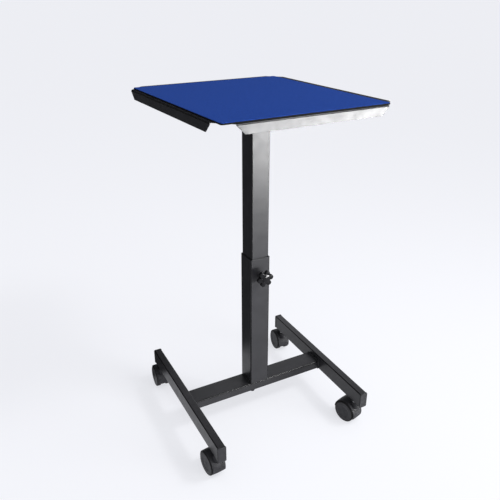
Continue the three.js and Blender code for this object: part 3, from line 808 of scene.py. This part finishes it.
def fender_section(thinning):
    """The hood's wall across the caster: a slight crown, rounded rims, and thinner by a share."""
    half, rim, crown, rim_steps, crown_steps = HOOD_W / 2, 0.9 * MM, 0.5 * MM, 4, 8
    outer = HOOD_OUT - thinning * HOOD_WALL / 2
    inner = HOOD_IN + thinning * HOOD_WALL / 2
    section = arc((rim - half, outer - crown - rim), rim, 180, 90, rim_steps)
    for step in range(1, crown_steps):
        share = 2 * step / crown_steps - 1
        section.append(((half - rim) * share, outer - crown * share**2))
    section += arc((half - rim, outer - crown - rim), rim, 90, 0, rim_steps)
    inner_rim = rim / 3
    return section + [
        (half, inner + inner_rim), (half - inner_rim, inner),
        (inner_rim - half, inner), (-half, inner + inner_rim),
    ]


def fender():
    """The hood's wall, swept round the wheels, with its ends rounded off."""
    sweep_steps, lip = 52, 0.5 * MM / HOOD_OUT
    end_thinning, near_end_thinning = 0.7, 0.3
    first, last = HOOD_FRONT + lip, HOOD_BACK - lip
    stations = [(HOOD_FRONT, end_thinning), (HOOD_FRONT + lip / 3, near_end_thinning)]
    stations += [(first + (last - first) * step / sweep_steps, 0) for step in range(sweep_steps + 1)]
    stations += [(HOOD_BACK - lip / 3, near_end_thinning), (HOOD_BACK, end_thinning)]
    rings = []
    for angle, thinning in stations:
        rings.append([from_axle(x, radius, angle) for x, radius in fender_section(thinning)])
    return skin(rings)


def hood_web():
    """The wall between the wheels, from the middle of the fender to the axle's hub."""
    wall_middle, arc_steps = (HOOD_IN + HOOD_OUT) / 2, 40
    swept = HOOD_BACK - HOOD_FRONT
    outline = [(wall_middle, HOOD_FRONT + swept * step / arc_steps) for step in range(arc_steps + 1)]
    rest = 2 * math.pi - swept
    outline += [(HUB_R, HOOD_BACK + rest * step / arc_steps) for step in range(arc_steps + 1)]
    return skin([[from_axle(x, radius, angle) for radius, angle in outline] for x in (-WEB / 2, WEB / 2)])


def hood_boss():
    """The stem's socket, on the swivel axis, which flares into the fender."""
    top = LOAD_HEIGHT - COLLAR - RUNNING_GAP
    bottom = WHEEL_R + math.sqrt(HOOD_IN**2 - TRAIL**2)
    bore, flare_steps = STEM_R + RUNNING_GAP, 6
    profile = [(bore, bottom), (BOSS_FLARE, bottom)]
    for step in range(flare_steps + 1):
        share = step / flare_steps
        radius = BOSS_R + (BOSS_FLARE - BOSS_R) * (1 - share) ** 2
        profile.append((radius, bottom + HAIRLINE + BOSS_FLARE_H * share))
    profile += [(BOSS_R, top - 2 * HAIRLINE), (BOSS_R - 2 * HAIRLINE, top)]
    profile += [(bore + HAIRLINE, top), (bore, top - HAIRLINE)]
    return lathe(profile, closed=True)


def wheel_solid():
    """A closed wheel along +Z from its inner face: rounded tread, a shallow dish and a hub cover."""
    shoulder, dish, dish_r, cover_r, cover = 2 * MM, 0.9 * MM, 14 * MM, 4.2 * MM, 0.5 * MM
    hub_r, recess, web_start, rim = 6 * MM, 5 * MM, 19 * MM, 3 * MM
    bore_r, bore_end_share, slope = 3.3 * MM, 0.85, 3 * dish
    round_steps, slope_steps, wheel_steps = 6, 6, 96
    bore_end = bore_end_share * WHEEL_W
    profile = [(0, bore_end), (bore_r, bore_end), (bore_r, 0), (hub_r, 0), (hub_r + HAIRLINE, HAIRLINE)]
    profile += [(hub_r + 2 * HAIRLINE, recess), (web_start, recess), (WHEEL_R - rim, 2 * HAIRLINE)]
    profile += [(WHEEL_R - rim + 2 * HAIRLINE, 0)]
    profile += arc((WHEEL_R - shoulder, shoulder), shoulder, -90, 0, round_steps)
    profile += arc((WHEEL_R - shoulder, WHEEL_W - shoulder), shoulder, 0, 90, round_steps)
    seam = WHEEL_R - TREAD - 2 * HAIRLINE
    profile += [(seam + 2 * HAIRLINE, WHEEL_W), (seam + HAIRLINE, WHEEL_W - HAIRLINE), (seam, WHEEL_W)]
    for step in range(slope_steps + 1):
        share = step / slope_steps
        ease = share * share * (3 - 2 * share)
        profile.append((dish_r + slope * (0.5 - share), WHEEL_W - dish * ease))
    face = WHEEL_W - dish
    profile += [(cover_r + 2 * HAIRLINE, face), (cover_r, face + cover / 2)]
    profile += [(cover_r - 2 * HAIRLINE, face + cover), (0, face + cover)]
    return lathe(profile, wheel_steps)


def stem_solid():
    """The stem and its collar, under the rail; its thread is hidden in the rail and isn't drawn."""
    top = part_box("front_left_stem")[1].z
    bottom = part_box("front_left_stem")[0].z
    collar_low = LOAD_HEIGHT - COLLAR
    return lathe([
        (0, bottom), (STEM_R - 2 * HAIRLINE, bottom), (STEM_R, bottom + 2 * HAIRLINE), (STEM_R, collar_low),
        (COLLAR_R - HAIRLINE, collar_low), (COLLAR_R, collar_low + HAIRLINE),
        (COLLAR_R, LOAD_HEIGHT - HAIRLINE),
        (COLLAR_R - HAIRLINE, LOAD_HEIGHT), (STEM_R, LOAD_HEIGHT), (STEM_R, top - 2 * HAIRLINE),
        (STEM_R - 2 * HAIRLINE, top), (0, top),
    ])


def make_caster(corner, degrees):
    end, side = corner.split("_")
    x = RAIL_SPACING / 2 * (-1 if side == "left" else 1)
    y = STEM_Y * (-1 if end == "front" else 1)
    stand = AT_COLUMN @ at(x, y, 0)
    to_piece(f"stem_{corner}", stem_solid(), stand, "base", "zinc_steel", f"{corner}_stem")
    swivel = stand @ Matrix.Rotation(math.radians(degrees), 4, "Z")
    hood = [fender(), hood_web(), hood_boss()]
    to_piece(f"hood_{corner}", hood, swivel, f"{corner}_caster", "caster_plastic", f"{corner}_hood")
    for letter, sign in (("a", -1), ("b", 1)):
        outward = Matrix.Rotation(sign * math.pi / 2, 4, "Y")
        place = swivel @ at(sign * (WEB / 2 + WHEEL_GAP), TRAIL, WHEEL_R) @ outward
        node = f"{corner}_wheel_{letter}"
        to_piece(f"roller_{corner}_{letter}", wheel_solid(), place, node, "wheel_plastic", node)


# Weld beads: overlapping ripples laid along a seam

WELD_BEAD, WELD_SPACING, WELD_PROUD = 1.7 * MM, 1.1 * MM, 0.3 * MM
NUT_BEAD, NUT_SPACING = 0.9 * MM, 0.7 * MM
RIPPLE_SHARE = 1.25  # a ripple's half length, as a share of the spacing


def weld_tree():
    """Lays a flattened ball at every step along a seam, and turns it to the seam's heading."""
    tree = bpy.data.node_groups.new("weld bead", "GeometryNodeTree")
    tree.is_modifier = True
    face = tree.interface
    face.new_socket("Geometry", in_out="INPUT", socket_type="NodeSocketGeometry")
    for name in ("Ripple spacing", "Bead radius", "Ripple length"):
        face.new_socket(name, in_out="INPUT", socket_type="NodeSocketFloat")
    face.new_socket("Paint", in_out="INPUT", socket_type="NodeSocketMaterial")
    face.new_socket("Geometry", in_out="OUTPUT", socket_type="NodeSocketGeometry")
    inputs = tree.nodes.new("NodeGroupInput").outputs
    result = tree.nodes.new("NodeGroupOutput").inputs["Geometry"]
    seam = tree.nodes.new("GeometryNodeMeshToCurve")
    spaced = tree.nodes.new("GeometryNodeResampleCurve")
    spaced.mode = "LENGTH"
    ball = tree.nodes.new("GeometryNodeMeshUVSphere")
    ball.inputs["Segments"].default_value = 10
    ball.inputs["Rings"].default_value = 6
    ball.inputs["Radius"].default_value = 1.0
    size = tree.nodes.new("ShaderNodeCombineXYZ")
    heading = tree.nodes.new("GeometryNodeInputTangent")
    turn = tree.nodes.new("FunctionNodeAlignRotationToVector")
    turn.axis = "Z"
    placed = tree.nodes.new("GeometryNodeInstanceOnPoints")
    real = tree.nodes.new("GeometryNodeRealizeInstances")
    painted = tree.nodes.new("GeometryNodeSetMaterial")
    for source, target in (
        (inputs["Geometry"], seam.inputs["Mesh"]),
        (seam.outputs["Curve"], spaced.inputs["Curve"]),
        (inputs["Ripple spacing"], spaced.inputs["Length"]),
        (spaced.outputs["Curve"], placed.inputs["Points"]),
        (ball.outputs["Mesh"], placed.inputs["Instance"]),
        (inputs["Bead radius"], size.inputs["X"]),
        (inputs["Bead radius"], size.inputs["Y"]),
        (inputs["Ripple length"], size.inputs["Z"]),
        (size.outputs["Vector"], placed.inputs["Scale"]),
        (heading.outputs["Tangent"], turn.inputs["Vector"]),
        (turn.outputs["Rotation"], placed.inputs["Rotation"]),
        (placed.outputs["Instances"], real.inputs["Geometry"]),
        (real.outputs["Geometry"], painted.inputs["Geometry"]),
        (inputs["Paint"], painted.inputs["Material"]),
        (painted.outputs["Geometry"], result),
    ):
        tree.links.new(source, target)
    return tree


WELD = weld_tree()


def weld(name, seam, place, body, bead=WELD_BEAD, spacing=WELD_SPACING):
    """One bead round a closed seam, given as points."""
    path = bpy.data.meshes.new(name)
    edges = [(i, (i + 1) % len(seam)) for i in range(len(seam))]
    path.from_pydata([place @ point for point in seam], edges, [])
    piece = bpy.data.objects.new(name, path)
    bpy.context.scene.collection.objects.link(piece)
    bead_maker = piece.modifiers.new("bead", "NODES")
    bead_maker.node_group = WELD
    values = {
        "Ripple spacing": spacing, "Ripple length": RIPPLE_SHARE * spacing,
        "Bead radius": bead, "Paint": PAINT,
    }
    for item in WELD.interface.items_tree:
        if item.in_out == "INPUT" and item.name in values:
            bead_maker[item.identifier] = values[item.name]
    settle(piece)
    piece.data.shade_smooth()
    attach(piece, body)


def seam_round(width, depth, corner):
    """The outline of a tube's end, where its bead lies."""
    return rounded_rectangle(width + 2 * WELD_PROUD, depth + 2 * WELD_PROUD, corner + WELD_PROUD)


def make_welds():
    for side, x in RAIL_SIDES:
        inner_face = x - math.copysign(RAIL_W / 2 + WELD_PROUD, x)
        middle = LOAD_HEIGHT + BAR_H / 2
        seam = [Vector((inner_face, y, middle + z)) for y, z in seam_round(BAR_D, BAR_H, BAR_CORNER)]
        weld(f"bar_weld_{side}", seam, AT_COLUMN, "base")
    seam = lift(seam_round(MAST, MAST, MAST_CORNER), MAST_TOP - WELD_PROUD)
    weld("plate_weld", seam, AT_MAST, "mast")
    seam = lift(hexagon(CLAMP_FLATS + WELD_PROUD), WELD_PROUD)
    weld("nut_weld", seam, AT_CLAMP, "base", NUT_BEAD, NUT_SPACING)


# Room: a pale floor that runs out of sight, a plain sky of the same tone, and soft lamps

PALE = (0.905, 0.913, 0.955)
SKY_LEVEL, SUN_LEVEL, FLOOR_GLOW = 0.45, 1.4, 0.7
FLOOR_REACH = 150  # metres


def seen_rays(tree):
    """1 for the rays that show a surface or its mirror image, 0 for the rays that light others."""
    paths = add_node(tree, "ShaderNodeLightPath")
    level = paths.outputs["Is Camera Ray"]
    for kind in ("Is Glossy Ray", "Is Transmission Ray"):
        either = add_node(tree, "ShaderNodeMath", operation="MAXIMUM")
        tree.links.new(level, either.inputs[0])
        tree.links.new(paths.outputs[kind], either.inputs[1])
        level = either.outputs["Value"]
    return level


def stage_sheet(name, corners, faces, material):
    mesh = bpy.data.meshes.new(name)
    mesh.from_pydata(corners, [], faces)
    mesh.materials.append(material)
    sheet = bpy.data.objects.new(name, mesh)
    bpy.context.scene.collection.objects.link(sheet)
    return sheet


def pale_floor():
    """A matt floor that takes shadows and shows in part at its own tone."""
    material, tree, shader = new_material("pale_floor")
    shader.inputs["Base Color"].default_value = (*PALE, 1)
    shader.inputs["Roughness"].default_value = 0.9
    shader.inputs["Specular IOR Level"].default_value = 0.0
    glow = add_node(tree, "ShaderNodeEmission", Color=(*PALE, 1), Strength=1.0)
    blend = add_node(tree, "ShaderNodeMixShader")
    share = add_node(tree, "ShaderNodeMath", operation="MULTIPLY")
    tree.links.new(seen_rays(tree), share.inputs[0])
    share.inputs[1].default_value = FLOOR_GLOW
    tree.links.new(share.outputs["Value"], blend.inputs["Fac"])
    tree.links.new(shader.outputs["BSDF"], blend.inputs[1])
    tree.links.new(glow.outputs["Emission"], blend.inputs[2])
    tree.links.new(blend.outputs["Shader"], tree.nodes["Material Output"].inputs["Surface"])
    return material


def add_floor():
    corners = [(x * FLOOR_REACH, y * FLOOR_REACH, 0) for x, y in ((-1, -1), (1, -1), (1, 1), (-1, 1))]
    stage_sheet("floor", corners, [(0, 1, 2, 3)], pale_floor())


def add_sky():
    """A pale sky that lights at one level and shows at its own tone."""
    world = bpy.data.worlds.new("studio")
    bpy.context.scene.world = world
    world.use_nodes = True
    tree = world.node_tree
    background = tree.nodes["Background"]
    level = add_node(tree, "ShaderNodeMapRange")
    level.inputs["To Min"].default_value = SKY_LEVEL
    level.inputs["To Max"].default_value = 1.0
    tree.links.new(seen_rays(tree), level.inputs["Value"])
    background.inputs["Color"].default_value = (*PALE, 1)
    tree.links.new(level.outputs["Result"], background.inputs["Strength"])


def add_softbox(name, place, aim, size, power, spread):
    """A rectangular lamp: place, aim and size in metres, power in watts, spread in degrees."""
    data = bpy.data.lights.new(name, "AREA")
    data.shape = "RECTANGLE"
    data.size, data.size_y = size
    data.energy = power
    data.spread = math.radians(spread)
    lamp = bpy.data.objects.new(name, data)
    lamp.location = place
    lamp.rotation_euler = (Vector(aim) - Vector(place)).to_track_quat("-Z", "Y").to_euler()
    bpy.context.scene.collection.objects.link(lamp)


def add_overhead():
    """A wide soft light from high on the cart's front right."""
    width, lean, turn = math.radians(70), math.radians(32), math.radians(30)
    data = bpy.data.lights.new("overhead", "SUN")
    data.energy = SUN_LEVEL
    data.angle = width
    lamp = bpy.data.objects.new("overhead", data)
    lamp.rotation_euler = (lean, 0, turn)
    bpy.context.scene.collection.objects.link(lamp)


def add_black_cards():
    """Dark cards behind the cart, which show in its sides and tray top and light nothing."""
    material, _, shader = new_material("black_card")
    shader.inputs["Base Color"].default_value = (0.01, 0.01, 0.01, 1)
    shader.inputs["Roughness"].default_value = 0.9
    left, right, near, far, low, middle, high = -1.7, 1.7, 0.2, 0.48, 2 * MM, 0.68, 1.3
    corners = [(x, y, z) for y, z in ((near, low), (far, low), (far, high)) for x in (left, 0)]
    corners += [(0, far, middle), (right, far, middle), (right, far, high)]
    cards = stage_sheet("black_cards", corners, [(0, 1, 3, 2), (2, 3, 5, 4), (6, 7, 8, 5)], material)
    cards.visible_camera = cards.visible_diffuse = False
    cards.visible_shadow = cards.visible_transmission = False


add_camera()
make_rails()
make_end_caps()
make_crossbar()
make_sleeve()
make_foot_bolts()
make_clamp()
make_mast()
make_tray()
make_tray_bolts()
make_mat()
for corner_name, turn in CASTER_TURNS.items():
    make_caster(corner_name, turn)
make_welds()
bpy.context.scene.view_settings.view_transform = "Standard"
add_floor()
add_sky()
add_overhead()
add_softbox("low_front", place=(1.52, -1.8, 0.2), aim=(0, 0, 0.72), size=(1.4, 0.36), power=20, spread=70)
add_softbox("key", place=(1.12, -1.1, 2.1), aim=(0, 0, 0.2), size=(0.5, 0.4), power=14, spread=140)
add_black_cards()
